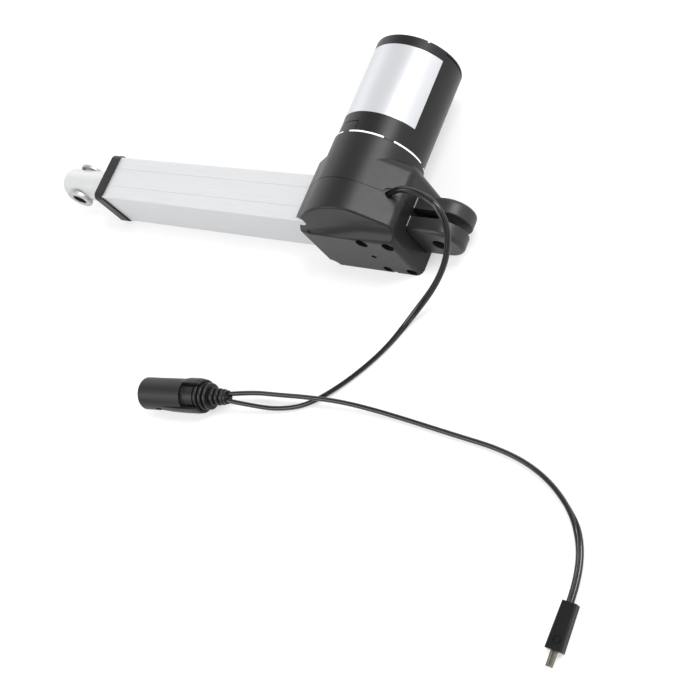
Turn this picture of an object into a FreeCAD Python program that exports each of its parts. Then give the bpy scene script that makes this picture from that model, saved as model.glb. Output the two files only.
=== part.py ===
"""Electric linear actuator with worm-driven lead screw, square aluminium tube,
forked rear mount, flanged rod eye, and a lead with an inline round socket and
a flat two-pin plug.

Frame (mm): origin at the centre of the rear fork's cross hole.  +X runs along
the spindle towards the rod eye (the rod extends to +X), +Y is the direction of
both cross holes, +Z is up.  The motor lies along -Y above the spindle axis.
"""

import math
import os

import FreeCAD
import Part

V = FreeCAD.Vector

# ---------------------------------------------------------------- dimensions
PIN_TO_PIN = 322.0      # retracted length, fork hole to rod eye
STROKE = 153.0          # travel of the rod
LEAD = 6.0              # spindle lead per turn
FLOOR = -19.2           # underside of the housing

# motor axis, parallel to Y
XM, ZM = 55.2, 17.5
Y_JOINT = -32.05        # motor meets the housing
Y_MOTOR_END = -103.85   # far rim of the motor cover
R_COVER, R_COVER_IN = 29.0, 26.9
SLIT = 1.3              # gap between cover and housing, bridged by tabs
TAB_ANGLES = (72.0, 132.0, 193.5, 244.0, 304.0, 4.0)
TAB_HALF = 6.2          # half width of a tab, degrees

# worm drive
WORM_R, WHEEL_R, MODULE, TEETH = 5.0, 12.5, 1.0, 25
PITCH = math.pi * MODULE

# housing
R_DRUM = 29.9
U_REAR, U_TUBE = -38.0, 32.0      # rear face and tube-side face, from the motor axis
W_BOTTOM = FLOOR - ZM
A_REAR, A_TUBE = 124.0, 52.0      # directions of the two sloping top facets
Y_BLOCK_BACK = -22.8
R_BACK = 5.8                      # roll-over from the sloping facets to the back
Y_REAR_BACK, R_REAR_BACK = -24.9, 7.9   # the same on the rear side
Y_ARC, Y_FRONT = 20.5, 26.9       # where the tube-side draft starts, and the flat front
Z_FOLD, RAMP = 20.4, 0.8          # top of the flat front, rise of the ramp above it
Y_RECESS, TURN_RECESS = 19.5, 0.155   # recessed upper front, and how it comes forward to the tube side
LEAN_RECESS = 0.03
R_FOLD = 7.0                      # rounding of the fold on the rear side
U_FRONT_TUBE = 30.6

# tube, cap and rod
TUBE, TUBE_IN = 34.0, 29.0
TUBE_X0, TUBE_X1 = 76.2, 284.8
CAP, CAP_X0, CAP_X1 = 37.0, 278.4, 287.2
ROD_R, ROD_IN = 11.0, 8.0
ROD_TIP = PIN_TO_PIN + 18.0
EYE_R = 5.05                      # for a 10 mm pin
FLANGE_Y = 10.4
FLANGES = ((-1, 9.1, 12.5), (1, 9.7, 13.2))   # side, radius and outer face of each bush

# fork
FORK_R, FORK_HALF, SLOT_HALF = 14.6, 12.5, 2.5
FORK_END = -0.6                   # centre of the lugs' rounded ends
FORK_Y = 1.0                      # middle of the gap between the lugs

# cords
CORD_R = 1.8
LEAD_1 = [(27.7, 0.2, 31.0), (14.5, -0.8, 39.9), (-1.1, 2.2, 42.2), (-15.9, 7.7, 39.3),
          (-21.9, 18.7, 25.8), (-13.1, 35.9, 5.2), (12.6, 57.3, -17.05), (21.5, 79.4, -17.05),
          (38.4, 103.3, -17.05), (59.0, 123.1, -17.05), (78.5, 130.0, -17.05), (94.7, 132.9, -13.2),
          (116.3, 134.8, -8.55)]
LEAD_2 = [(116.9, 130.9, -8.55), (100.0, 125.0, -11.5), (82.4, 122.8, -12.4), (58.0, 119.8, -12.2),
          (31.8, 117.6, -12.9), (2.5, 117.4, -17.05), (-40.6, 120.5, -17.05), (-80.4, 123.0, -17.05),
          (-107.5, 131.9, -17.05), (-128.3, 147.9, -17.05), (-137.9, 163.3, -17.05),
          (-141.7, 181.5, -17.05), (-141.8, 193.0, -16.3)]

# inline socket: front end and the direction towards its cord end
SOCKET_AT, SOCKET_TURN, SOCKET_R = (180.95, 142.64, FLOOR + 10.65), 188.63, 10.65
# flat plug: rear end and its direction
PLUG_AT, PLUG_TURN = (-142.5, 191.7, FLOOR + 2.9), 89.1
PLUG_L, PLUG_W, PLUG_W0, PLUG_T = 24.8, 9.5, 8.2, 5.8

parts = {}


# ------------------------------------------------------------------- helpers
def cyl_x(r, x0, x1, y=0.0, z=0.0):
    return Part.makeCylinder(r, x1 - x0, V(x0, y, z), V(1, 0, 0))


def cyl_y(r, y0, y1, x=XM, z=ZM):
    return Part.makeCylinder(r, y1 - y0, V(x, y0, z), V(0, 1, 0))


def cyl_z(r, z0, z1, x=0.0, y=0.0):
    return Part.makeCylinder(r, z1 - z0, V(x, y, z0), V(0, 0, 1))


def box(x0, x1, y0, y1, z0, z1):
    return Part.makeBox(x1 - x0, y1 - y0, z1 - z0, V(x0, y0, z0))


def ring_x(r0, r1, x0, x1):
    return cyl_x(r1, x0, x1).cut(cyl_x(r0, x0 - 1, x1 + 1))


def ring_y(r0, r1, y0, y1, x=XM, z=ZM):
    return cyl_y(r1, y0, y1, x, z).cut(cyl_y(r0, y0 - 1, y1 + 1, x, z))


def fuse(*shapes):
    out = shapes[0]
    for s in shapes[1:]:
        out = out.fuse(s)
    return out.removeSplitter()


def round_edges(shape, radius, pick):
    """Round the edges that pick accepts; a shape that can't take it stays sharp."""
    edges = [e for e in shape.Edges if pick(e)]
    if not edges:
        return shape
    try:
        out = shape.makeFillet(radius, edges)
        if out.isValid() and out.Volume > 0:
            return out
    except Exception:
        pass
    print("left sharp:", radius, len(edges))
    return shape


def along(e, axis):
    """Whether a straight edge runs along an axis (0, 1, 2)."""
    if not isinstance(e.Curve, Part.Line):
        return False
    d = e.Vertexes[-1].Point - e.Vertexes[0].Point
    return abs(abs((d.x, d.y, d.z)[axis]) - d.Length) < 1e-6


def square_x(size, radius, x0, x1):
    h = size / 2
    return round_edges(box(x0, x1, -h, h, -h, h), radius, lambda e: along(e, 0))


def at(u, w, y):
    """Point given from the motor axis."""
    return V(XM + u, y, ZM + w)


def polar(r, a, y):
    a = math.radians(a)
    return at(r * math.cos(a), r * math.sin(a), y)


def sector(r0, r1, a0, a1, y0, y1):
    """Piece of a ring around the motor axis, a0 to a1 in degrees."""
    m = (a0 + a1) / 2
    w = Part.Wire([
        Part.Arc(polar(r1, a0, y0), polar(r1, m, y0), polar(r1, a1, y0)).toShape(),
        Part.LineSegment(polar(r1, a1, y0), polar(r0, a1, y0)).toShape(),
        Part.Arc(polar(r0, a1, y0), polar(r0, m, y0), polar(r0, a0, y0)).toShape(),
        Part.LineSegment(polar(r0, a0, y0), polar(r1, a0, y0)).toShape(),
    ])
    return Part.Face(w).extrude(V(0, y1 - y0, 0))


def turned(profile):
    """Solid turned about X from (x, r) points, closed along the axis."""
    pts = [V(x, 0, r) for x, r in profile]
    pts.append(pts[0])
    return Part.Face(Part.makePolygon(pts)).revolve(V(0, 0, 0), V(1, 0, 0), 360)


def compound(*solids):
    return Part.makeCompound(list(solids))


# ------------------------------------------------------------------- housing
def top_line(direction, u):
    """Height of a facet that touches the drum, at distance u."""
    a = math.radians(direction)
    return (R_DRUM - u * math.cos(a)) / math.sin(a)


W_REAR, W_TUBE = top_line(A_REAR, U_REAR), top_line(A_TUBE, U_TUBE)


def t_rear(y):
    return polar(R_DRUM, A_REAR, y)


def t_tube(y):
    return polar(R_DRUM, A_TUBE, y)


def top_edges(y):
    return [
        Part.LineSegment(at(U_TUBE, W_TUBE, y), t_tube(y)).toShape(),
        Part.Arc(t_tube(y), polar(R_DRUM, 90, y), t_rear(y)).toShape(),
        Part.LineSegment(t_rear(y), at(U_REAR, W_REAR, y)).toShape(),
    ]


def block_face(y, w_low):
    edges = top_edges(y) + [
        Part.LineSegment(at(U_REAR, W_REAR, y), at(U_REAR, w_low, y)).toShape(),
        Part.LineSegment(at(U_REAR, w_low, y), at(U_TUBE, w_low, y)).toShape(),
        Part.LineSegment(at(U_TUBE, w_low, y), at(U_TUBE, W_TUBE, y)).toShape(),
    ]
    return Part.Face(Part.Wire(edges))


def prism(points, x0, run):
    """Solid with a (y, z) outline at x0, drawn out along run."""
    pts = [V(x0, y, z) for y, z in points]
    return Part.Face(Part.makePolygon(pts + pts[:1])).extrude(run)


def recess():
    """Space in front of the upper front: a near-upright wall that comes forward to
    the tube side, and a ramp from its foot out to the flat front."""
    x0, far = -60.0, 240.0

    def wall(z, turn, start):
        return start - LEAN_RECESS * (z - 36.0) + turn * (x0 - 40.0)

    space = box(x0 + 1, x0 + far - 1, 12, 60, 15, 80)
    low, high = -10.0, 100.0
    flat = [(-90, low), (wall(low, 0, Y_RECESS), low), (wall(high, 0, Y_RECESS), high), (-90, high)]
    turned_wall = [(-90, low), (wall(low, TURN_RECESS, Y_RECESS - 0.2), low),
                   (wall(high, TURN_RECESS, Y_RECESS - 0.2), high), (-90, high)]
    ramp = [(-10, Z_FOLD + RAMP * (Y_FRONT + 10)), (80, Z_FOLD + RAMP * (Y_FRONT - 80)), (80, -120), (-10, -120)]
    space = space.cut(prism(flat, x0, V(far, 0, 0))).cut(prism(turned_wall, x0, V(far, TURN_RECESS * far, 0)))
    space = space.cut(prism(ramp, x0, V(far, 0, 0)))

    def upright(e):
        d = e.Vertexes[-1].Point - e.Vertexes[0].Point
        return abs(d.z) > 0.9 * d.Length and 30 < e.CenterOfMass.x < 60 and e.CenterOfMass.y < 30

    def foot(e):
        b = e.BoundBox
        return b.ZMax < 30 and b.YMax < Y_FRONT + 14 and b.YMin > 12.5 and abs(b.XLength) > 3 and b.YMin < 27 and b.ZLength < 12 \
            and not (b.YLength < 1e-6 and b.ZLength < 1e-6 and abs(e.CenterOfMass.z - 15) < 1e-6)

    space = round_edges(space, 70.0, upright)
    return round_edges(space, 9.0, foot)


def fold_round():
    """Cutter that rounds the fold between the ramp and the flat front, and fades out
    towards the tube side."""
    lift, n = 0.06, math.hypot(RAMP, 1.0)
    ny, nz = RAMP / n, 1.0 / n                       # outward direction of the ramp
    half = math.acos(ny) / 2
    corner = (Y_FRONT + lift, Z_FOLD + lift * math.tan(half))
    cy, cz = corner[0] - R_FOLD, corner[1] - R_FOLD * math.tan(half)

    def on(a):
        return V(XM + U_REAR - 3, cy + R_FOLD * math.cos(a), cz + R_FOLD * math.sin(a))

    low, mid, high = on(0.0), on(half), on(2 * half)
    out = V(low.x, corner[0] + 4, corner[1] + 4)
    top = high + V(0, ny, nz) * 3
    foot = low + V(0, 3, 0)
    edges = [Part.Arc(low, mid, high).toShape(), Part.LineSegment(high, top).toShape(), Part.LineSegment(top, out).toShape(),
             Part.LineSegment(out, foot).toShape(), Part.LineSegment(foot, low).toShape()]
    rise = R_FOLD * (1 / math.cos(half) - 1)
    return Part.Face(Part.Wire(edges)).extrude(V(66.0, rise * math.cos(half), rise * math.sin(half)))


def housing_outside():
    def block(back, radius):
        b = block_face(back, W_BOTTOM).extrude(V(0, Y_FRONT - back, 0))
        return round_edges(b, radius, lambda e: abs(e.CenterOfMass.y - back) < 1e-3 and e.CenterOfMass.z > ZM + 10.5)

    rear_side = block(Y_REAR_BACK, R_REAR_BACK).common(box(-100, XM + 4, -100, 100, -100, 100))
    tube_side = block(Y_BLOCK_BACK, R_BACK).common(box(XM + 4, 200, -100, 100, -100, 100))
    drum = cyl_y(R_DRUM, Y_JOINT, -8.0)
    foot = box(XM - 22, XM + 22, Y_JOINT + 0.6, Y_BLOCK_BACK + 1, FLOOR, ZM - 18)
    body = fuse(rear_side, tube_side, drum, foot)
    # draft on the tube side of the front
    pts = [at(U_TUBE, -60, Y_ARC), at(U_FRONT_TUBE, -60, Y_FRONT), at(U_FRONT_TUBE - 0.22, -60, Y_FRONT + 1),
           at(U_TUBE + 5, -60, Y_FRONT + 1), at(U_TUBE + 5, -60, Y_ARC)]
    body = body.cut(Part.Face(Part.makePolygon(pts + pts[:1])).extrude(V(0, 0, 120)))
    x_rear = XM + U_REAR

    def first_that_works(shape, pick, radii):
        for r in radii:
            rounded = round_edges(shape, r, pick)
            if rounded is not shape:
                return rounded
        return shape

    def front_rim(e):
        """Edge between the curved top and the recessed upper front."""
        c, b = e.CenterOfMass, e.BoundBox
        return c.y > Y_RECESS - 2.5 and b.ZMin > ZM + 9 and b.XMin > x_rear + 0.5 and b.XMax < XM + U_TUBE + 0.5 \
            and b.XLength > 2 and b.ZMax > ZM + 12

    def rear_corner(e):
        """The upright front edge on the rear side."""
        return along(e, 2) and abs(e.CenterOfMass.x - x_rear) < 1e-3 and abs(e.CenterOfMass.y - Y_FRONT) < 1e-3

    def rear_top(e):
        """The edge between the sloping rear facet and the rear face."""
        return along(e, 1) and abs(e.CenterOfMass.x - x_rear) < 1e-3 and abs(e.CenterOfMass.z - (ZM + W_REAR)) < 1e-3

    body = first_that_works(body, rear_top, (6.5, 5.5, 4.5, 3.4))
    body = first_that_works(body, rear_corner, (4.6, 3.8, 3.0, 2.2))
    body = body.cut(recess())
    print("housing blank", body.isValid(), len(body.Solids), round(body.Volume))
    body = first_that_works(body, front_rim, (1.4, 1.1, 0.9, 0.5))
    body = first_that_works(body, lambda e: along(e, 2) and abs(e.CenterOfMass.y - Y_FRONT) < 1e-3
                            and e.CenterOfMass.x > XM, (1.2, 0.6))
    return body.cut(fold_round())


SCREW_AT = [(XM - 12.6, ZM - 1.2, 4.0), (XM - 31.4, ZM - 1.9, 4.0), (XM - 14.3, ZM - 33.2, 3.15), (XM - 32.0, ZM - 33.2, 3.5)]
MOTOR_SCREW_AT = [(XM - 20, ZM), (XM + 20, ZM)]

# the lead leaves through the sloping rear facet, on the parting plane
e0, e1 = V(*LEAD_1[0]), V(*LEAD_1[1])
EXIT_DIR = (e1 - e0).normalize()
_n = V(math.cos(math.radians(A_REAR)), 0, math.sin(math.radians(A_REAR)))
_t = (R_DRUM - (e0 - V(XM, 0, ZM)).dot(_n)) / EXIT_DIR.dot(_n)
EXIT = e0 + EXIT_DIR * _t
print("lead leaves the housing at", [round(c, 2) for c in EXIT])


def housing_spaces():
    s = [
        cyl_y(8.0, Y_JOINT - 1, 12.0),                       # worm tunnel
        cyl_y(5.0, 11.0, 18.2),                              # bush at the worm's free end
        cyl_x(15.2, 48.0, 64.0),                             # wheel chamber
        cyl_x(13.05, 63.0, 76.2),                            # ball bearing and retainer
        cyl_x(5.6, 35.0, 49.0), cyl_x(7.52, 37.0, 43.2),     # spindle's rear end and bush
        box(TUBE_X0, XM + U_TUBE + 2, -TUBE / 2 - 0.1, TUBE / 2 + 0.1, -TUBE / 2 - 0.1, TUBE / 2 + 0.1),   # tube socket
        round_edges(box(XM + U_REAR - 1, 21.3, FORK_Y - 12.75, FORK_Y + 12.75, -14.85, 14.85), 2.6, lambda e: along(e, 0)),  # fork's base
        box(XM + U_REAR - 1, 18.6, -8.75, -1.55, 14.0, 15.5),       # seal strips above it
        box(XM + U_REAR - 1, 18.6, 3.85, 10.95, 14.0, 15.5),
        cyl_x(10.02, 21.0, 35.2),                            # fork's shank
        cyl_y(2.02, -16.1, 16.1, 28.0, 0.0),                 # fork's cross pin
        Part.makeCylinder(3.5, 14.0, EXIT + EXIT_DIR * 4.0, EXIT_DIR * -1),   # lead
        box(32.0, 43.0, Y_JOINT - 1, 6.0, 24.0, 31.0),       # room for the wires
        cyl_y(1.8, 21.5, Y_FRONT + 1, XM - 12.6, 0.0),       # blind hole in the front
        cyl_y(6.2, 13.0, Y_FRONT + 1, XM + U_FRONT_TUBE + 0.6, FLOOR - 0.2),
        box(XM - 20.0, XM - 17.2, Y_FRONT - 3.0, Y_FRONT + 1, FLOOR - 1, FLOOR + 1.2),   # small notch in the lower edge
        # slanted slot through the upper front corner, down to the tube
        prism([(21.3, 29.15), (17.91, 23.31), (16.3, 15.05), (16.62, 13.58), (18.44, 14.72), (20.46, 19.0), (23.88, 15.63), (28.56, 23.85)],
              92.0, V(-15.07, 8.09, 16.81)),
    ]
    for x, z, r in SCREW_AT:
        s += [cyl_y(r, 14.4, Y_FRONT + 1, x, z), cyl_y(2.05, -14.2, 14.9, x, z)]
    for x, z in MOTOR_SCREW_AT:
        s.append(cyl_y(2.05, Y_JOINT - 1, -21.8, x, z))
    return s


def parting_groove():
    """Fine groove where the two halves meet, around the outside."""
    face = block_face(-0.15, W_BOTTOM)
    inner = face.makeOffset2D(-0.35)
    return face.cut(inner).extrude(V(0, 0.3, 0))


outside = housing_outside()
print("housing outside", outside.isValid(), round(outside.Volume))
spaces = housing_spaces()
groove = parting_groove()
big = 400
front = outside.common(box(-big, big, 0, big, -big, big)).cut(spaces + [groove])
rear = outside.common(box(-big, big, -big, 0, -big, big)).cut(spaces + [groove])


def largest(shape):
    return max(shape.Solids, key=lambda s: s.Volume)


parts["gear_housing_front"] = largest(front)
parts["gear_housing_motor_side"] = largest(rear)

# screws deep in the front holes
screws = []
for x, z, r in SCREW_AT:
    s = fuse(cyl_y(1.95, -13.8, 14.5, x, z), cyl_y(3.0, 14.45, 18.0, x, z))
    cross = fuse(box(x - 2.0, x + 2.0, 16.6, 18.4, z - 0.5, z + 0.5), box(x - 0.5, x + 0.5, 16.6, 18.4, z - 2.0, z + 2.0))
    screws.append(s.cut(cross))
parts["housing_screws"] = compound(*screws)

parts["worm_end_bush"] = ring_y(3.03, 4.95, 12.4, 18.0)

# --------------------------------------------------------------------- motor
cover = ring_y(R_COVER_IN, R_COVER, Y_MOTOR_END, Y_JOINT - SLIT)
cover = round_edges(cover, 0.8, lambda e: abs(e.BoundBox.YMin - Y_MOTOR_END) < 1e-3
                    and e.BoundBox.XLength > 57.5)
for a in TAB_ANGLES:
    cover = cover.fuse(sector(R_COVER_IN + 0.1, R_COVER, a - TAB_HALF, a + TAB_HALF, Y_JOINT - SLIT - 0.5, Y_JOINT - 0.68))
clip = sector(R_COVER - 0.5, R_COVER + 1, 58.3, 86.3, -40.6, Y_JOINT - 2.0)
clip = clip.cut(sector(R_COVER - 1, R_COVER + 2, 59.3, 85.3, -40.1, Y_JOINT - 1.0))
cover = cover.cut(clip)
cover = cover.cut(sector(R_COVER - 0.8, R_COVER + 1, 158.0, 215.0, Y_MOTOR_END + 1.6, Y_MOTOR_END + 2.4))
for a, half in ((131.3, 1.5), (251.0, 1.5), (11.0, 1.5)):
    cover = cover.cut(sector(R_COVER_IN - 1, R_COVER + 1, a - half, a + half, Y_MOTOR_END - 1, Y_MOTOR_END + 1.3))
parts["motor_cover"] = cover.removeSplitter()

cap = fuse(cyl_y(26.8, -102.4, -100.2), cyl_y(9.0, -102.9, -102.0))
for k in range(6):
    a = math.radians(30 + 60 * k)
    cap = cap.cut(cyl_y(2.0, -103, -101.4, XM + 18 * math.cos(a), ZM + 18 * math.sin(a)))
parts["motor_end_cap"] = cap

gasket = ring_y(21.0, 29.45, Y_JOINT - SLIT, Y_JOINT - 0.02)
for a in TAB_ANGLES:
    gasket = gasket.cut(sector(26.6, 31.0, a - TAB_HALF - 0.4, a + TAB_HALF + 0.4, Y_JOINT - 3, Y_JOINT + 1))
for x, z in MOTOR_SCREW_AT:
    gasket = gasket.cut(cyl_y(2.3, Y_JOINT - 3, Y_JOINT + 1, x, z))
parts["motor_joint_ring"] = gasket

plate = ring_y(8.05, 26.4, -37.6, Y_JOINT - SLIT - 0.05).fuse(ring_y(8.05, 11.0, -44.0, -37.6))
for x, z in MOTOR_SCREW_AT:
    plate = plate.cut(cyl_y(2.1, -45, Y_JOINT, x, z))
parts["motor_flange_plate"] = plate.removeSplitter()
parts["motor_screws"] = compound(*[fuse(cyl_y(1.95, -37.7, -22.0, x, z), cyl_y(3.4, -40.4, -37.65, x, z))
                                   for x, z in MOTOR_SCREW_AT])

can = fuse(ring_y(25.0, 26.6, -100.0, -37.7), ring_y(6.02, 26.0, -100.0, -98.6), ring_y(6.02, 8.0, -98.7, -94.9))
parts["motor_can"] = can
parts["motor_magnets"] = compound(sector(17.6, 24.9, 28, 152, -83.0, -47.0), sector(17.6, 24.9, 208, 332, -83.0, -47.0))
parts["motor_front_bearing"] = ring_y(3.03, 8.0, -43.6, -38.0)
parts["motor_rear_bearing"] = ring_y(3.03, 5.97, -98.4, -94.9)

card = ring_y(9.4, 24.8, -96.2, -94.7)
brushes = []
for s in (-1, 1):
    x0, x1 = sorted((XM + s * 8.9, XM + s * 20.0))
    case = box(x0, x1, -94.8, -86.0, ZM - 4.2, ZM + 4.2).cut(box(x0 - 1, x1 + 1, -93.6, -87.2, ZM - 2.7, ZM + 2.7))
    card = card.fuse(case)
    b0, b1 = sorted((XM + s * 8.1, XM + s * 17.5))
    brushes.append(box(b0, b1, -93.4, -87.4, ZM - 2.5, ZM + 2.5).cut(cyl_y(8.1, -95, -85)))
parts["motor_brush_card"] = card.removeSplitter()
parts["motor_brushes"] = compound(*brushes)

# bare label wrapped on the cover
parts["motor_label"] = sector(R_COVER + 0.02, R_COVER + 0.17, -10.0, 156.6, -96.5, -47.1)

# -------------------------------------------------- armature, worm and wheel
worm_root, worm_tip, turns = 3.7, 6.0, 6
w_pitch = PITCH / 2 - 0.25
t20 = math.tan(math.radians(20))
half = [(worm_root - 0.35, w_pitch / 2 + t20 * (WORM_R - worm_root + 0.35)), (worm_tip, w_pitch / 2 - t20 * (worm_tip - WORM_R))]
helix = Part.makeHelix(PITCH, turns * PITCH, WORM_R)
rib = Part.makePolygon([V(half[0][0], 0, -half[0][1]), V(half[1][0], 0, -half[1][1]),
                        V(half[1][0], 0, half[1][1]), V(half[0][0], 0, half[0][1]), V(half[0][0], 0, -half[0][1])])
thread = Part.Wire(helix).makePipeShell([rib], True, True)
worm = Part.makeCylinder(worm_root, turns * PITCH + 4.6, V(0, 0, -2.86), V(0, 0, 1))
worm.rotate(V(0, 0, 0), V(0, 0, 1), 137)
worm = worm.fuse(thread)
# turned so that it climbs along Y, with a groove and not a rib facing the wheel's centre
worm.rotate(V(0, 0, 0), V(1, 0, 0), -90)
worm.translate(V(XM, -turns * PITCH / 2 + PITCH / 4, ZM))
worm = worm.fuse([cyl_y(3.0, -98.3, -11.0), cyl_y(3.0, 11.5, 17.8)]).removeSplitter()
print("worm", worm.isValid(), len(worm.Solids), round(worm.Volume, 1))
parts["motor_shaft_with_worm"] = largest(worm)

stack = ring_y(3.02, 16.4, -80.0, -50.0)
for k in range(10):
    a = 36.0 * k
    slot = sector(5.2, 14.8, a - 8, a + 8, -81, -49).fuse(sector(14.4, 17.5, a - 2.6, a + 2.6, -81, -49))
    stack = stack.cut(slot)
parts["armature_core"] = stack.removeSplitter()
coils = []
for k in range(10):
    a = 36.0 * k
    coils.append(sector(5.6, 14.2, a - 7.0, a + 7.0, -80.5, -49.5))
ends = fuse(ring_y(5.4, 14.4, -84.4, -80.1), ring_y(5.4, 14.4, -49.9, -46.2))
windings = ends
for c in coils:
    windings = windings.fuse(c)
parts["armature_windings"] = windings.removeSplitter()
comm = ring_y(3.02, 8.0, -93.8, -85.4)
for k in range(10):
    a = 36.0 * k + 18
    comm = comm.cut(sector(6.9, 9.0, a - 1.6, a + 1.6, -94.5, -85.0))
parts["commutator"] = comm

WHEEL_X = XM
tip_r, root_r, tooth = WHEEL_R + MODULE - 0.1, WHEEL_R - 1.3, PITCH / 2 - 0.15
base_r = WHEEL_R * math.cos(math.radians(20))


def involute(r):
    c = min(1.0, base_r / r)
    a = math.acos(c)
    return math.tan(a) - a


def half_angle(r):
    """Half the tooth's angle at radius r."""
    return tooth / 2 / WHEEL_R + involute(WHEEL_R) - involute(max(r, base_r))


def wheel_wire(x, twist):
    pts = []
    radii = [root_r, base_r, 12.2, 12.6, 13.0, tip_r]
    for k in range(TEETH):
        c = math.pi / 2 + 2 * math.pi * k / TEETH + twist
        for r in radii:
            a = c - half_angle(r)
            pts.append(V(x, r * math.cos(a), r * math.sin(a)))
        for r in reversed(radii):
            a = c + half_angle(r)
            pts.append(V(x, r * math.cos(a), r * math.sin(a)))
    pts.append(pts[0])
    return Part.makePolygon(pts)


slope = PITCH / (2 * math.pi * WORM_R)
half_w = 4.0
wheel = Part.makeLoft([wheel_wire(WHEEL_X - half_w, -slope * half_w / WHEEL_R),
                       wheel_wire(WHEEL_X + half_w, slope * half_w / WHEEL_R)], True, True)
wheel = fuse(wheel, cyl_x(8.5, 48.6, 61.6))
wheel = wheel.cut(cyl_x(5.02, 40, 70)).cut(cyl_z(1.22, -12, 12, 50.0, 0.0))
print("wheel", wheel.isValid(), round(wheel.Volume, 1))
parts["worm_wheel"] = wheel
parts["wheel_drive_pin"] = cyl_z(1.2, -8.3, 8.3, 50.0, 0.0)

# ------------------------------------------------------------------- spindle
profile = [(36.0, 0.0), (36.0, 4.2), (36.8, 5.0), (74.05, 5.0), (74.05, 7.4), (79.0, 7.4), (79.0, 5.0), (82.0, 5.0)]
x = 82.0
while x + 3.0 < 258.0:
    profile += [(x + 0.45, 4.7), (x + 0.95, 6.0), (x + 2.05, 6.0), (x + 2.55, 4.7)]
    x += 3.0
profile += [(x + 0.5, 5.0), (261.0, 5.0), (261.0, 0.0)]
spindle = turned(profile).cut(cyl_z(1.22, -12, 12, 50.0, 0.0)).cut(cyl_x(1.55, 250.0, 262.0))
print("spindle", spindle.isValid(), round(spindle.Volume, 1))
parts["spindle"] = spindle
parts["spindle_thrust_washer"] = ring_x(5.04, 8.2, 61.8, 65.6)
parts["spindle_end_stop"] = ring_x(1.6, 7.3, 261.1, 263.0)
parts["spindle_end_screw"] = fuse(cyl_x(1.5, 251.0, 263.2), cyl_x(3.2, 263.1, 265.2))
bearing = ring_x(5.03, 13.0, 66.0, 73.8)
for r0, r1 in ((7.0, 11.2),):
    bearing = bearing.cut(ring_x(r0, r1, 65.0, 66.5)).cut(ring_x(r0, r1, 73.3, 75.0))
parts["spindle_bearing"] = bearing
parts["bearing_retainer"] = ring_x(8.6, 12.95, 74.0, 75.9)
parts["spindle_rear_bush"] = ring_x(5.04, 7.45, 37.1, 43.1)

# ---------------------------------------------------------- tube and its end
tube = square_x(TUBE, 1.2, TUBE_X0, TUBE_X1).cut(square_x(TUBE_IN, 1.2, TUBE_X0 - 1, TUBE_X1 + 1))
for y in (-7.1, 7.1):
    for z in (-TUBE / 2, TUBE / 2):
        tube = tube.cut(box(TUBE_X0 - 1, TUBE_X1 + 1, y - 0.16, y + 0.16, z - 0.14, z + 0.14))
parts["outer_tube"] = tube

end_cap = square_x(CAP, 4.4, CAP_X0, CAP_X1)
end_cap = round_edges(end_cap, 0.9, lambda e: abs(e.BoundBox.XMin - CAP_X1) < 1e-3)
end_cap = end_cap.cut(square_x(TUBE + 0.12, 1.1, CAP_X0 - 1, TUBE_X1 + 0.1)).cut(cyl_x(11.3, CAP_X0, CAP_X1 + 1))
end_cap = end_cap.cut(square_x(TUBE + 1.7, 1.8, CAP_X0 - 1, CAP_X0 + 1.6))   # step around the tube
parts["tube_end_cap"] = end_cap
parts["rod_guide"] = square_x(TUBE_IN - 0.12, 1.4, 260.0, 281.4).cut(cyl_x(ROD_R + 0.05, 255, 285))
parts["rod_wiper"] = ring_x(ROD_R + 0.05, 14.2, 281.5, 284.7)

# ----------------------------------------------------------------------- rod
parts["rod_tube"] = ring_x(ROD_IN, ROD_R, 101.05, 283.0)
nut = box(90.0, 101.0, -14.2, 14.2, -12.4, 14.2)
nut = round_edges(nut, 1.6, lambda e: along(e, 0))
nut = nut.cut(box(89, 102, 7.4, 15, -13, -8.2))
nut = fuse(nut, cyl_x(7.95, 100.0, 107.0)).cut(cyl_x(6.3, 85, 120))
parts["spindle_nut"] = nut

rod_end = cyl_x(ROD_R, 283.05, ROD_TIP)
rod_end = round_edges(rod_end, 6.2, lambda e: abs(e.BoundBox.XMin - ROD_TIP) < 1e-3 and e.Length > 20)
rod_end = fuse(rod_end, cyl_x(7.95, 268.0, 284.0))
rod_end = rod_end.cut(cyl_y(6.02, -20, 20, PIN_TO_PIN, 0.0))
for s, r, face in FLANGES:
    y0, y1 = sorted((s * FLANGE_Y, s * 20))
    rod_end = rod_end.cut(cyl_y(r + 0.25, y0, y1, PIN_TO_PIN, 0.0))
parts["rod_end"] = rod_end

bushes = []
for s, r, face in FLANGES:
    y0, y1 = sorted((s * 0.05, s * (FLANGE_Y + 0.02)))
    f0, f1 = sorted((s * (FLANGE_Y + 0.02), s * face))
    b = fuse(cyl_y(6.0, y0, y1, PIN_TO_PIN, 0.0), cyl_y(r, f0, f1, PIN_TO_PIN, 0.0))
    b = round_edges(b, 0.5, lambda e: abs(abs(e.CenterOfMass.y) - face) < 1e-3 and e.Length > 50)
    b = b.cut(cyl_y(EYE_R, -20, 20, PIN_TO_PIN, 0.0))
    b = b.cut(Part.makeCone(EYE_R, EYE_R + 1.6, 1.6, V(PIN_TO_PIN, s * (face - 0.4), 0), V(0, s, 0)))
    bushes.append(b)
parts["rod_eye_bushes"] = compound(*bushes)

# ------------------------------------------------------------ limit switches
parts["limit_switch_board"] = box(86.0, 256.5, 3.5, 13.4, -14.3, -12.9)
parts["limit_switches"] = compound(box(92.0, 98.5, 8.4, 13.2, -12.9, -9.0), box(248.0, 254.5, 8.4, 13.2, -12.9, -9.0))

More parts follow.
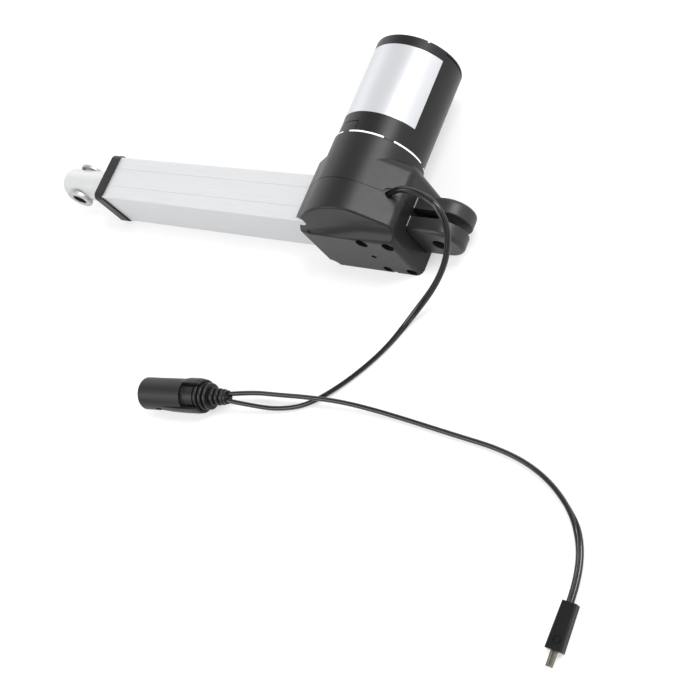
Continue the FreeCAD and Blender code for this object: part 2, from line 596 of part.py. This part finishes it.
# ----------------------------------------------------------------- rear fork
fork = fuse(cyl_y(FORK_R, FORK_Y - FORK_HALF, FORK_Y + FORK_HALF, FORK_END, 0.0),
            box(FORK_END, 21.2, FORK_Y - FORK_HALF, FORK_Y + FORK_HALF, -FORK_R, FORK_R))
fork = round_edges(fork, 2.8, lambda e: (abs(abs(e.CenterOfMass.y - FORK_Y) - FORK_HALF) < 1e-3) and not along(e, 2))
slot = box(-30, 19.0, FORK_Y - SLOT_HALF, FORK_Y + SLOT_HALF, -30, 30)
fork = fork.cut(slot).cut(cyl_y(EYE_R, -30, 30, 0.0, 0.0))
fork = fuse(fork, cyl_x(9.98, 20.5, 35.0)).cut(cyl_y(2.0, -30, 30, 28.0, 0.0))
fork = round_edges(fork, 0.7, lambda e: abs(abs(e.CenterOfMass.y - FORK_Y) - SLOT_HALF) < 1e-3
                   and e.BoundBox.XMin < 5 and e.BoundBox.ZLength > 10 and e.BoundBox.XMin < -10)
parts["rear_clevis"] = fork
# light seal strips above the two lugs, at the housing's rear face
parts["clevis_seal"] = compound(box(17.25, 18.55, -8.7, -1.6, FORK_R + 0.02, 15.4),
                                box(17.25, 18.55, 3.9, 10.9, FORK_R + 0.02, 15.4))
parts["clevis_cross_pin"] = cyl_y(1.98, -16.0, 16.0, 28.0, 0.0)

# --------------------------------------------------------------------- cords
def grommet():
    g = Part.makeCylinder(3.45, 9.0, EXIT + EXIT_DIR * 3.5, EXIT_DIR * -1)
    lid = EXIT - _n * 0.9
    outer = Part.makeCylinder(20, 20, lid, _n)
    return g.cut(outer).cut(Part.makeCylinder(CORD_R + 0.06, 20, EXIT + EXIT_DIR * 8, EXIT_DIR * -1))


parts["cord_grommet"] = grommet()


def cord(points, name):
    """Straight runs joined by tangent arcs, as one round tube."""
    p = [V(*q) for q in points]
    edges, start, length, radii = [], p[0], 0.0, []
    for i in range(1, len(p) - 1):
        a, b = (p[i] - p[i - 1]), (p[i + 1] - p[i])
        da, db = V(a).normalize(), V(b).normalize()
        turn = da.getAngle(db)
        cut = 0.45 * min(a.Length, b.Length)
        radius = cut / math.tan(turn / 2)
        radii.append(round(radius, 1))
        t0, t1 = p[i] - da * cut, p[i] + db * cut
        bis = (db - da).normalize()
        centre = p[i] + bis * (radius / math.cos(turn / 2))
        mid = centre - bis * radius
        edges.append(Part.LineSegment(start, t0).toShape())
        edges.append(Part.Arc(t0, mid, t1).toShape())
        length += (t0 - start).Length + radius * turn
        start = t1
    edges.append(Part.LineSegment(start, p[-1]).toShape())
    length += (p[-1] - start).Length
    wire = Part.Wire(edges)
    ring = Part.Wire(Part.makeCircle(CORD_R, p[0], (p[1] - p[0])))
    tube = wire.makePipeShell([ring], True, False)
    ideal = math.pi * CORD_R ** 2 * length
    print(name, "length", round(length, 1), "volume ratio", round(tube.Volume / ideal, 4), "radii", radii, tube.isValid())
    return tube


parts["lead_to_socket"] = cord(LEAD_1, "lead_to_socket")
parts["lead_to_plug"] = cord(LEAD_2, "lead_to_plug")


def place(shape, where, turn):
    shape = shape.copy()
    shape.rotate(V(0, 0, 0), V(0, 0, 1), turn)
    shape.translate(V(*where))
    return shape


def ring_sector_x(r0, r1, a_mid, a_half, x0, x1):
    def p(r, a):
        a = math.radians(a)
        return V(x0, r * math.cos(a), r * math.sin(a))
    a0, a1 = a_mid - a_half, a_mid + a_half
    w = Part.Wire([Part.Arc(p(r1, a0), p(r1, a_mid), p(r1, a1)).toShape(),
                   Part.LineSegment(p(r1, a1), p(r0, a1)).toShape(),
                   Part.Arc(p(r0, a1), p(r0, a_mid), p(r0, a0)).toShape(),
                   Part.LineSegment(p(r0, a0), p(r1, a0)).toShape()])
    return Part.Face(w).extrude(V(x1 - x0, 0, 0))


# inline round socket, drawn along X from its open end
SLEEVE_IN, SLEEVE_L = 9.42, 35.3
sleeve = cyl_x(SOCKET_R, 0, SLEEVE_L)
sleeve = round_edges(sleeve, 1.5, lambda e: e.BoundBox.XMax < 0.01)
# two tongues that stand a little proud of the sleeve, one of them longer
short = turned([(30.0, SLEEVE_IN), (30.0, SOCKET_R), (33.0, SOCKET_R), (37.5, 11.35), (45.5, 11.35), (49.5, 10.6), (49.5, SLEEVE_IN)])
long = turned([(16.0, SLEEVE_IN), (16.0, SOCKET_R), (17.0, SOCKET_R), (23.0, 11.1), (32.0, 11.45), (45.0, 11.45), (48.0, 11.0), (48.0, SLEEVE_IN)])
sleeve = sleeve.fuse([short.common(ring_sector_x(5.0, 14.0, 22, 43, 29.0, 51.0)),
                      long.common(ring_sector_x(5.0, 14.0, 202, 40, 15.0, 51.0))])
sleeve = sleeve.cut(cyl_x(SLEEVE_IN, -1, 60)).cut(ring_sector_x(9.0, 13.0, 195, 22, 11.8, 16.6)).removeSplitter()
insert = cyl_x(9.3, 9.0, 34.0)
holes = [(4.4 * math.cos(math.radians(a)), 4.4 * math.sin(math.radians(a))) for a in (0, 45, 90, 135, 180)]
for y, z in holes:
    insert = insert.cut(cyl_x(0.9, 8, 22, y, z))
insert = insert.cut(box(8, 12, -0.8, 0.8, -9.4, -7.4))
contacts = [cyl_x(0.86, 10.2, 21.8, y, z).cut(cyl_x(0.55, 9, 18, y, z)) for y, z in holes]
relief_profile = [(34.1, 0), (34.1, 9.25), (36.2, 9.25), (36.6, 8.55)]
s = 45.6
relief_profile += [(44.4, 8.55), (44.4, 7.5), (s, 7.5)]
for r, g in ((9.15, 6.8), (8.95, 6.5), (8.6, 5.4), (6.0, 4.0), (5.5, 3.9), (5.1, 4.35)):
    relief_profile += [(s, r - 0.45), (s + 0.4, r), (s + 1.6, r - 0.1), (s + 2.05, r - 0.55), (s + 2.05, g), (s + 3.6, g)]
    s += 3.6
relief_profile += [(67.6, 4.35), (67.6, 0)]
relief = turned(relief_profile)
parts["socket_sleeve"] = place(sleeve, SOCKET_AT, SOCKET_TURN)
parts["socket_insert"] = place(insert, SOCKET_AT, SOCKET_TURN)
parts["socket_contacts"] = place(compound(*contacts), SOCKET_AT, SOCKET_TURN)
relief = place(relief, SOCKET_AT, SOCKET_TURN)
for end, nxt in ((LEAD_1[-1], LEAD_1[-2]), (LEAD_2[0], LEAD_2[1])):
    a, b = V(*end), V(*nxt)
    d = (b - a).normalize()
    relief = relief.cut(Part.makeCylinder(CORD_R + 0.05, 10, a - d * 0.1, d))
print("relief", relief.isValid(), len(relief.Solids))
parts["socket_strain_relief"] = largest(relief)

# flat plug, drawn along X from its cord end
pts = [V(0, -PLUG_W0 / 2, -PLUG_T / 2), V(PLUG_L, -PLUG_W / 2, -PLUG_T / 2), V(PLUG_L, PLUG_W / 2, -PLUG_T / 2), V(0, PLUG_W0 / 2, -PLUG_T / 2)]
plug = Part.Face(Part.makePolygon(pts + pts[:1])).extrude(V(0, 0, PLUG_T))
plug = round_edges(plug, 0.9, lambda e: e.BoundBox.XLength > 20)
plug = plug.cut(cyl_z(2.3, PLUG_T / 2 - 0.45, 5, PLUG_L - 5.2, 0.6).cut(cyl_z(1.45, 0, 6, PLUG_L - 5.2, 0.6)))
for y in (-1.05, 1.05):
    plug = plug.cut(cyl_x(0.97, PLUG_L - 8.2, PLUG_L + 1, y, 0.0))
plug = place(plug, PLUG_AT, PLUG_TURN)
a, b = V(*LEAD_2[-1]), V(*LEAD_2[-2])
d = (b - a).normalize()
plug = plug.cut(Part.makeCylinder(CORD_R + 0.05, 10, a - d * 0.1, d))
parts["plug_body"] = largest(plug)
pins = []
for y in (-1.05, 1.05):
    pin = cyl_x(0.95, PLUG_L - 8.0, PLUG_L + 8.3, y, 0.0)
    pins.append(round_edges(pin, 0.4, lambda e: e.BoundBox.XMin > PLUG_L + 8))
parts["plug_pins"] = place(compound(*pins), PLUG_AT, PLUG_TURN)

# --------------------------------------------------------------------- write
os.makedirs("parts", exist_ok=True)
for name, shape in parts.items():
    ok = shape.isValid()
    n = len(shape.Solids)
    vol = sum(s.Volume for s in shape.Solids)
    if not ok or n == 0 or min(s.Volume for s in shape.Solids) <= 0:
        print("CHECK", name, ok, n, vol)
    shape.exportStep("parts/%s.step" % name)
print(len(parts), "nodes")
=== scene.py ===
import math

import bpy
from mathutils import Matrix, Vector


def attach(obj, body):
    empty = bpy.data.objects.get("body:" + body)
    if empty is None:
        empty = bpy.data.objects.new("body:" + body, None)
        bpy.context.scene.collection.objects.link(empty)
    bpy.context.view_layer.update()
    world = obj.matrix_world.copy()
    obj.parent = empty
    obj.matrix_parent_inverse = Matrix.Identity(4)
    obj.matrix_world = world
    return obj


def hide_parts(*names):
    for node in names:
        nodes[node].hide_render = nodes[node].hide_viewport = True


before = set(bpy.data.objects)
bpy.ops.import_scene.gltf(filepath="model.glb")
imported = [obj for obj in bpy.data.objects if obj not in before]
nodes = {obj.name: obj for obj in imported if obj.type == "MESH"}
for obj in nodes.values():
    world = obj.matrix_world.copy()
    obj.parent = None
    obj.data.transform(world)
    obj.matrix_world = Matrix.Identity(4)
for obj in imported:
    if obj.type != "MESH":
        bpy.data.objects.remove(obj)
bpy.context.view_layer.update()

scene = bpy.context.scene
MM = 0.001
FLOOR = -19.2 * MM

# ------------------------------------------------------------------ camera
cam_data = bpy.data.cameras.new("camera")
cam_data.sensor_fit = "HORIZONTAL"
cam_data.sensor_width = 36.0
cam_data.lens = 64.67
cam_data.clip_start = 0.01
cam_data.clip_end = 30.0
cam = bpy.data.objects.new("camera", cam_data)
scene.collection.objects.link(cam)
right = Vector((-0.79219, -0.36730, -0.48736)).normalized()
down = Vector((-0.15086, 0.89168, -0.42680))
down = (down - right * down.dot(right)).normalized()
forward = right.cross(down).normalized()
place = Vector((-391.0, 278.0, 558.5)) * MM
turn = Matrix((right, -down, -forward)).transposed()
cam.matrix_world = Matrix.Translation(place) @ turn.to_4x4()
scene.camera = cam


# --------------------------------------------------------------- materials
def material(name):
    m = bpy.data.materials.new(name)
    m.use_nodes = True
    nt = m.node_tree
    nt.nodes.clear()
    out = nt.nodes.new("ShaderNodeOutputMaterial")
    b = nt.nodes.new("ShaderNodeBsdfPrincipled")
    nt.links.new(b.outputs["BSDF"], out.inputs["Surface"])
    return m, nt, b


def coords(nt, scale=(1, 1, 1), rotation=(0, 0, 0)):
    tc = nt.nodes.new("ShaderNodeTexCoord")
    mp = nt.nodes.new("ShaderNodeMapping")
    mp.inputs["Scale"].default_value = scale
    mp.inputs["Rotation"].default_value = rotation
    nt.links.new(tc.outputs["Object"], mp.inputs["Vector"])
    return mp.outputs["Vector"]


def noise(nt, vec, scale, detail=3.0, rough=0.55):
    n = nt.nodes.new("ShaderNodeTexNoise")
    n.inputs["Scale"].default_value = scale
    n.inputs["Detail"].default_value = detail
    n.inputs["Roughness"].default_value = rough
    nt.links.new(vec, n.inputs["Vector"])
    return n.outputs["Fac"]


def ramp(nt, fac, stops):
    r = nt.nodes.new("ShaderNodeValToRGB")
    el = r.color_ramp.elements
    while len(el) < len(stops):
        el.new(0.5)
    for e, (p, c) in zip(el, stops):
        e.position = p
        e.color = (*c, 1) if len(c) == 3 else c
    nt.links.new(fac, r.inputs["Fac"])
    return r.outputs["Color"]


def spread(nt, fac, lo, hi):
    r = nt.nodes.new("ShaderNodeMapRange")
    r.inputs["From Min"].default_value = 0.25
    r.inputs["From Max"].default_value = 0.75
    r.inputs["To Min"].default_value = lo
    r.inputs["To Max"].default_value = hi
    nt.links.new(fac, r.inputs["Value"])
    return r.outputs["Result"]


def bump(nt, b, layers):
    """Stacked height layers: (height, strength, distance)."""
    last = None
    for h, strength, dist in layers:
        n = nt.nodes.new("ShaderNodeBump")
        n.inputs["Strength"].default_value = strength
        n.inputs["Distance"].default_value = dist
        nt.links.new(h, n.inputs["Height"])
        if last is not None:
            nt.links.new(last, n.inputs["Normal"])
        last = n.outputs["Normal"]
    nt.links.new(last, b.inputs["Normal"])


def moulded(name, dark, light, rough=(0.36, 0.5), grain=1700.0, depth=0.00003, spec=0.5, coat=0.0):
    """Moulded plastic: fine spark-eroded grain, slow colour drift, faint handling marks."""
    m, nt, b = material(name)
    v = coords(nt)
    slow = noise(nt, v, 38.0, 4.0)
    fine = noise(nt, v, grain, 2.0)
    mid = noise(nt, v, 240.0, 3.0)
    nt.links.new(ramp(nt, slow, [(0.3, dark), (0.7, light)]), b.inputs["Base Color"])
    nt.links.new(spread(nt, mid, *rough), b.inputs["Roughness"])
    b.inputs["Specular IOR Level"].default_value = spec
    if coat:
        b.inputs["Coat Weight"].default_value = coat
        b.inputs["Coat Roughness"].default_value = 0.3
    bump(nt, b, [(fine, 0.30, depth), (mid, 0.03, 0.00002)])
    return m


def metal(name, dark, light, rough=(0.25, 0.4), stretch=(1, 1, 1), scale=900.0, depth=0.00001, metallic=1.0):
    """Metal with fine lines along one direction (stretch is small along the lines)."""
    m, nt, b = material(name)
    v = coords(nt, stretch)
    lines = noise(nt, v, scale, 4.0, 0.6)
    cloud = noise(nt, coords(nt), 55.0, 3.0)
    nt.links.new(ramp(nt, lines, [(0.3, dark), (0.7, light)]), b.inputs["Base Color"])
    nt.links.new(spread(nt, cloud, *rough), b.inputs["Roughness"])
    b.inputs["Metallic"].default_value = metallic
    bump(nt, b, [(lines, 0.25, depth)])
    return m


M = {}
M["housing"] = moulded("housing_plastic", (0.0078, 0.0078, 0.0088), (0.0096, 0.0096, 0.0106), rough=(0.38, 0.42), spec=0.29)
M["cover"] = moulded("cover_plastic", (0.0070, 0.0070, 0.0080), (0.0082, 0.0082, 0.0092), rough=(0.32, 0.36), grain=2200.0, depth=0.00002, spec=0.25)
M["clevis"] = moulded("clevis_plastic", (0.0110, 0.0110, 0.0121), (0.0130, 0.0130, 0.0142), rough=(0.38, 0.44), spec=0.38)
M["cap"] = moulded("cap_plastic", (0.0088, 0.0088, 0.0098), (0.0108, 0.0108, 0.0118), rough=(0.38, 0.44), spec=0.25)
M["connector"] = moulded("connector_plastic", (0.0060, 0.0060, 0.0068), (0.0072, 0.0072, 0.0080), rough=(0.42, 0.48), spec=0.30)
M["plug"] = moulded("plug_plastic", (0.0042, 0.0042, 0.0046), (0.0056, 0.0056, 0.0060), rough=(0.34, 0.42), spec=0.22)
M["rubber"] = moulded("relief_rubber", (0.0060, 0.0060, 0.0065), (0.0075, 0.0075, 0.0080), rough=(0.36, 0.42), grain=2600.0, depth=0.00002, spec=0.28)
M["cord"] = moulded("cord_jacket", (0.0045, 0.0045, 0.0049), (0.0060, 0.0060, 0.0064), rough=(0.17, 0.21), grain=2800.0, depth=0.000008, spec=0.45)
M["white"] = moulded("joint_ring_white", (0.86, 0.86, 0.86), (0.90, 0.90, 0.90), rough=(0.45, 0.6))
M["seal"] = moulded("clevis_seal_grey", (0.36, 0.36, 0.37), (0.41, 0.41, 0.42), rough=(0.45, 0.6))
M["nylon"] = moulded("nylon_natural", (0.66, 0.63, 0.55), (0.74, 0.71, 0.63), rough=(0.4, 0.55))
M["carbon"] = moulded("brush_carbon", (0.03, 0.03, 0.03), (0.05, 0.05, 0.05), rough=(0.55, 0.7))
M["board"] = moulded("board_green", (0.02, 0.12, 0.05), (0.03, 0.16, 0.07), rough=(0.35, 0.45))
M["tube"] = metal("tube_aluminium", (0.456, 0.461, 0.472), (0.492, 0.497, 0.508), rough=(0.40, 0.46), stretch=(0.03, 1, 1), scale=1500.0, metallic=0.15)
M["rod"] = metal("rod_aluminium", (0.462, 0.465, 0.469), (0.516, 0.519, 0.523), rough=(0.34, 0.42), stretch=(1, 0.12, 0.12), scale=1500.0, metallic=0.2)


def bush_metal():
    """Nickel bush with turned faces; painted shade darkens the bore inside the eye."""
    m, nt, b = material("bush_nickel")
    v = coords(nt)
    lines = noise(nt, v, 700.0, 4.0, 0.6)
    cloud = noise(nt, v, 90.0, 3.0)
    away = nt.nodes.new("ShaderNodeVectorMath")
    away.operation = "SUBTRACT"
    away.inputs[1].default_value = nodes["rod_eye_bushes"].matrix_world.inverted() @ Vector((0.322, 0.0, 0.0))
    nt.links.new(v, away.inputs[0])
    flat = nt.nodes.new("ShaderNodeVectorMath")
    flat.operation = "MULTIPLY"
    flat.inputs[1].default_value = (1, 0, 1)
    nt.links.new(away.outputs["Vector"], flat.inputs[0])
    dist = nt.nodes.new("ShaderNodeVectorMath")
    dist.operation = "LENGTH"
    nt.links.new(flat.outputs["Vector"], dist.inputs[0])
    # painted shade: the base colour falls to 0.16 of the nickel inside the bore radius, where shade falls in the hole
    out = nt.nodes.new("ShaderNodeMapRange")
    out.inputs["From Min"].default_value = 0.0051
    out.inputs["From Max"].default_value = 0.0055
    out.inputs["To Min"].default_value = 0.16
    out.inputs["To Max"].default_value = 1.0
    nt.links.new(dist.outputs["Value"], out.inputs["Value"])
    bore_shaded_colour = nt.nodes.new("ShaderNodeVectorMath")
    bore_shaded_colour.operation = "SCALE"
    nt.links.new(ramp(nt, lines, [(0.3, (0.40, 0.40, 0.39)), (0.7, (0.47, 0.47, 0.46))]), bore_shaded_colour.inputs[0])
    nt.links.new(out.outputs["Result"], bore_shaded_colour.inputs["Scale"])
    nt.links.new(bore_shaded_colour.outputs["Vector"], b.inputs["Base Color"])
    nt.links.new(spread(nt, cloud, 0.44, 0.52), b.inputs["Roughness"])
    b.inputs["Metallic"].default_value = 0.8
    bump(nt, b, [(lines, 0.20, 0.000004)])
    return m


M["bush"] = bush_metal()
M["steel"] = metal("zinc_steel", (0.22, 0.22, 0.23), (0.30, 0.30, 0.31), rough=(0.35, 0.48), scale=500.0)
M["dark_steel"] = metal("ground_steel", (0.28, 0.28, 0.29), (0.40, 0.40, 0.42), rough=(0.25, 0.38), stretch=(0.1, 1, 1), scale=900.0)
M["alloy"] = metal("die_cast", (0.45, 0.45, 0.47), (0.58, 0.58, 0.60), rough=(0.45, 0.6), scale=300.0, depth=0.00003)
M["magnet"] = moulded("magnet_grey", (0.10, 0.10, 0.105), (0.14, 0.14, 0.145), rough=(0.5, 0.65))
M["bronze"] = metal("sintered_bronze", (0.42, 0.28, 0.13), (0.55, 0.38, 0.19), rough=(0.4, 0.55), scale=900.0, depth=0.00002)
M["copper"] = metal("enamelled_copper", (0.45, 0.18, 0.08), (0.6, 0.27, 0.13), rough=(0.3, 0.42), stretch=(1, 0.05, 1), scale=1400.0, depth=0.00004)
M["contact"] = metal("contact_plated", (0.72, 0.62, 0.42), (0.82, 0.74, 0.55), rough=(0.2, 0.3), scale=600.0)
M["pin"] = metal("pin_nickel", (0.140, 0.125, 0.100), (0.175, 0.160, 0.130), rough=(0.28, 0.36), scale=600.0, metallic=0.8)


def label_film():
    """Blank satin film with a faint coating texture."""
    m, nt, b = material("label_film")
    v = coords(nt)
    slow = noise(nt, v, 26.0, 3.0)
    fine = noise(nt, coords(nt, (1, 0.2, 1)), 1500.0, 2.0)
    nt.links.new(ramp(nt, slow, [(0.3, (0.448, 0.456, 0.474)), (0.7, (0.474, 0.482, 0.500))]), b.inputs["Base Color"])
    nt.links.new(spread(nt, fine, 0.28, 0.33), b.inputs["Roughness"])
    b.inputs["Metallic"].default_value = 0.38
    bump(nt, b, [(fine, 0.12, 0.00001)])
    return m


M["label"] = label_film()

WEARS = {
    "gear_housing_front": "housing", "gear_housing_motor_side": "housing", "housing_screws": "steel",
    "worm_end_bush": "bronze", "motor_cover": "cover", "motor_end_cap": "cover", "motor_joint_ring": "white",
    "motor_flange_plate": "alloy", "motor_screws": "steel", "motor_can": "steel", "motor_magnets": "magnet",
    "motor_front_bearing": "bronze", "motor_rear_bearing": "bronze", "motor_brush_card": "nylon",
    "motor_brushes": "carbon", "motor_label": "label", "motor_shaft_with_worm": "dark_steel",
    "armature_core": "dark_steel", "armature_windings": "copper", "commutator": "copper", "worm_wheel": "nylon",
    "wheel_drive_pin": "steel", "spindle": "dark_steel", "spindle_thrust_washer": "bronze",
    "spindle_end_stop": "steel", "spindle_end_screw": "steel", "spindle_bearing": "dark_steel",
    "bearing_retainer": "steel", "spindle_rear_bush": "bronze", "outer_tube": "tube", "tube_end_cap": "cap",
    "rod_guide": "nylon", "rod_wiper": "rubber", "rod_tube": "rod", "spindle_nut": "nylon", "rod_end": "rod",
    "rod_eye_bushes": "bush", "limit_switch_board": "board", "limit_switches": "connector",
    "rear_clevis": "clevis", "clevis_seal": "seal", "clevis_cross_pin": "steel", "cord_grommet": "rubber",
    "lead_to_socket": "cord", "lead_to_plug": "cord", "socket_sleeve": "connector", "socket_insert": "connector",
    "socket_contacts": "contact", "socket_strain_relief": "rubber", "plug_body": "plug", "plug_pins": "pin",
}
for name, key in WEARS.items():
    o = nodes[name]
    o.data.materials.clear()
    o.data.materials.append(M[key])

# ------------------------------------------------------------------- cords
# route points as in the CAD, mm
LEAD_1 = [(27.7, 0.2, 31.0), (14.5, -0.8, 39.9), (-1.1, 2.2, 42.2), (-15.9, 7.7, 39.3),
          (-21.9, 18.7, 25.8), (-13.1, 35.9, 5.2), (12.6, 57.3, -17.05), (21.5, 79.4, -17.05),
          (38.4, 103.3, -17.05), (59.0, 123.1, -17.05), (78.5, 130.0, -17.05), (94.7, 132.9, -13.2),
          (116.3, 134.8, -8.55)]
LEAD_2 = [(116.9, 130.9, -8.55), (100.0, 125.0, -11.5), (82.4, 122.8, -12.4), (58.0, 119.8, -12.2),
          (31.8, 117.6, -12.9), (2.5, 117.4, -17.05), (-40.6, 120.5, -17.05), (-80.4, 123.0, -17.05),
          (-107.5, 131.9, -17.05), (-128.3, 147.9, -17.05), (-137.9, 163.3, -17.05),
          (-141.7, 181.5, -17.05), (-141.8, 193.0, -16.3)]
CORD_W, CORD_T = 4.2 * MM, 2.85 * MM
# direction of the flat cord's width where it stands on edge
ON_EDGE = Vector((-0.45, 0.20, 0.87)).normalized()


def route(name, points):
    """Points along the smooth line that has the route as its control points."""
    c = bpy.data.curves.new(name, "CURVE")
    c.dimensions = "3D"
    c.resolution_u = 24
    s = c.splines.new("NURBS")
    s.points.add(len(points) - 1)
    for p, q in zip(s.points, points):
        p.co = (*(x * MM for x in q), 1.0)
    s.order_u = 3
    s.use_endpoint_u = True
    o = bpy.data.objects.new(name, c)
    scene.collection.objects.link(o)
    bpy.context.view_layer.update()
    mesh = bpy.data.meshes.new_from_object(o.evaluated_get(bpy.context.evaluated_depsgraph_get()))
    pts = [Vector(v.co) for v in mesh.vertices]
    bpy.data.objects.remove(o)
    bpy.data.meshes.remove(mesh)
    out = [pts[0]]
    for p in pts[1:]:
        if (p - out[-1]).length > 0.2 * MM:
            out.append(p)
    return out


def twin_section():
    """Outline of a flat two-core cord: two round lobes and a narrow groove between them."""
    r, c = CORD_T / 2, (CORD_W - CORD_T) / 2
    out = []
    n = 13
    for side in (1, -1):
        for k in range(n):
            a = math.radians(-104 + 208 * k / (n - 1))
            out.append((side * (c + r * math.cos(a)), side * r * math.sin(a)))
        out.append((side * 0.20 * r, side * 0.46 * r))
        out.append((-side * 0.20 * r, side * 0.46 * r))
    return out


def ease(x):
    x = min(max(x, 0.0), 1.0)
    return x * x * (3 - 2 * x)


def cord_mesh(name, pts, edge):
    """Flat cord along pts; edge(s) is 0 where it lies flat and 1 where it stands on edge."""
    sec = twin_section()
    verts, faces = [], []
    m = len(sec)
    up = Vector((0, 0, 1))
    run = 0.0
    for i, p in enumerate(pts):
        if i:
            run += (p - pts[i - 1]).length
        t = (pts[min(i + 1, len(pts) - 1)] - pts[max(i - 1, 0)]).normalized()
        side = t.cross(up).normalized()
        top = side.cross(t).normalized()
        e = (ON_EDGE - t * ON_EDGE.dot(t)).normalized()
        roll = (math.atan2(e.dot(top), e.dot(side)) % math.pi) * edge(run / MM)
        wide = side * math.cos(roll) + top * math.sin(roll)
        thin = top * math.cos(roll) - side * math.sin(roll)
        for a, b in sec:
            verts.append(p + wide * a + thin * b)
    for i in range(len(pts) - 1):
        for k in range(m):
            a, b = i * m + k, i * m + (k + 1) % m
            faces.append((a, b, b + m, a + m))
    faces.append(tuple(range(m - 1, -1, -1)))
    faces.append(tuple((len(pts) - 1) * m + k for k in range(m)))
    me = bpy.data.meshes.new(name)
    me.from_pydata(verts, [], faces)
    me.validate()
    me.update()
    for poly in me.polygons:
        poly.use_smooth = len(poly.vertices) == 4
    o = bpy.data.objects.new(name, me)
    scene.collection.objects.link(o)
    me.materials.append(M["cord"])
    return o


p1 = route("route_1", LEAD_1)
p2 = route("route_2", LEAD_2)
cord_1 = cord_mesh("cord_to_socket", p1, lambda s: ease((s - 88.0) / 72.0))
cord_2 = cord_mesh("cord_to_plug", p2, lambda s: 1.0 - ease((s - 244.0) / 30.0))
for c, node in ((cord_1, "lead_to_socket"), (cord_2, "lead_to_plug")):
    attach(c, "housing")
    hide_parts(node)

# ------------------------------------------------------------------- stage
def floor():
    me = bpy.data.meshes.new("floor")
    s, z = 6.0, FLOOR - 0.00005
    me.from_pydata([(-s, -s, z), (s, -s, z), (s, s, z), (-s, s, z)], [], [(0, 1, 2, 3)])
    o = bpy.data.objects.new("floor", me)
    scene.collection.objects.link(o)
    m, nt, b = material("floor_paper")
    f = noise(nt, coords(nt), 40.0, 2.0)
    nt.links.new(ramp(nt, f, [(0.3, (0.44, 0.44, 0.44)), (0.7, (0.46, 0.46, 0.46))]), b.inputs["Base Color"])
    b.inputs["Roughness"].default_value = 0.85
    b.inputs["Specular IOR Level"].default_value = 0.1
    # a pale translucent table, softly lit from below
    b.inputs["Emission Color"].default_value = (1.0, 1.0, 1.0, 1.0)
    b.inputs["Emission Strength"].default_value = 0.48
    me.materials.append(m)


floor()

world = bpy.data.worlds.new("studio")
scene.world = world
world.use_nodes = True
wt = world.node_tree
bg = wt.nodes["Background"]
sky = wt.nodes.new("ShaderNodeTexCoord")
part = wt.nodes.new("ShaderNodeSeparateXYZ")
wt.links.new(sky.outputs["Generated"], part.inputs["Vector"])
# bright near the horizon, dimmer overhead
shade = ramp(wt, part.outputs["Z"], [(0.0, (1.25, 1.25, 1.25)), (0.42, (1.45, 1.45, 1.45)), (0.66, (0.60, 0.60, 0.60)), (1.0, (0.42, 0.42, 0.42))])
# brighter behind the object than in front of it
depth = wt.nodes.new("ShaderNodeMapRange")
depth.inputs["From Min"].default_value = -1.0
depth.inputs["From Max"].default_value = 1.0
wt.links.new(part.outputs["Y"], depth.inputs["Value"])
side = ramp(wt, depth.outputs["Result"], [(0.0, (1.45, 1.45, 1.45)), (0.5, (1.05, 1.05, 1.05)), (0.75, (0.70, 0.70, 0.70)), (1.0, (0.30, 0.30, 0.30))])
mixed = wt.nodes.new("ShaderNodeVectorMath")
mixed.operation = "MULTIPLY"
wt.links.new(shade, mixed.inputs[0])
wt.links.new(side, mixed.inputs[1])
wt.links.new(mixed.outputs["Vector"], bg.inputs["Color"])
bg.inputs["Strength"].default_value = 1.0


def area(name, at, to, size, power):
    d = bpy.data.lights.new(name, "AREA")
    d.shape = "RECTANGLE"
    d.size, d.size_y = size
    d.energy = power
    o = bpy.data.objects.new(name, d)
    scene.collection.objects.link(o)
    o.location = at
    aim = Vector(to) - Vector(at)
    o.rotation_euler = aim.to_track_quat("-Z", "Y").to_euler()
    return o


area("key", (-0.72, -0.43, 1.22), (0.06, 0.02, 0.0), (0.50, 0.90), 20.0)
area("fill", (0.58, 1.22, 1.26), (0.08, 0.03, 0.0), (1.5, 1.1), 24.0)

scene.view_settings.view_transform = "Standard"
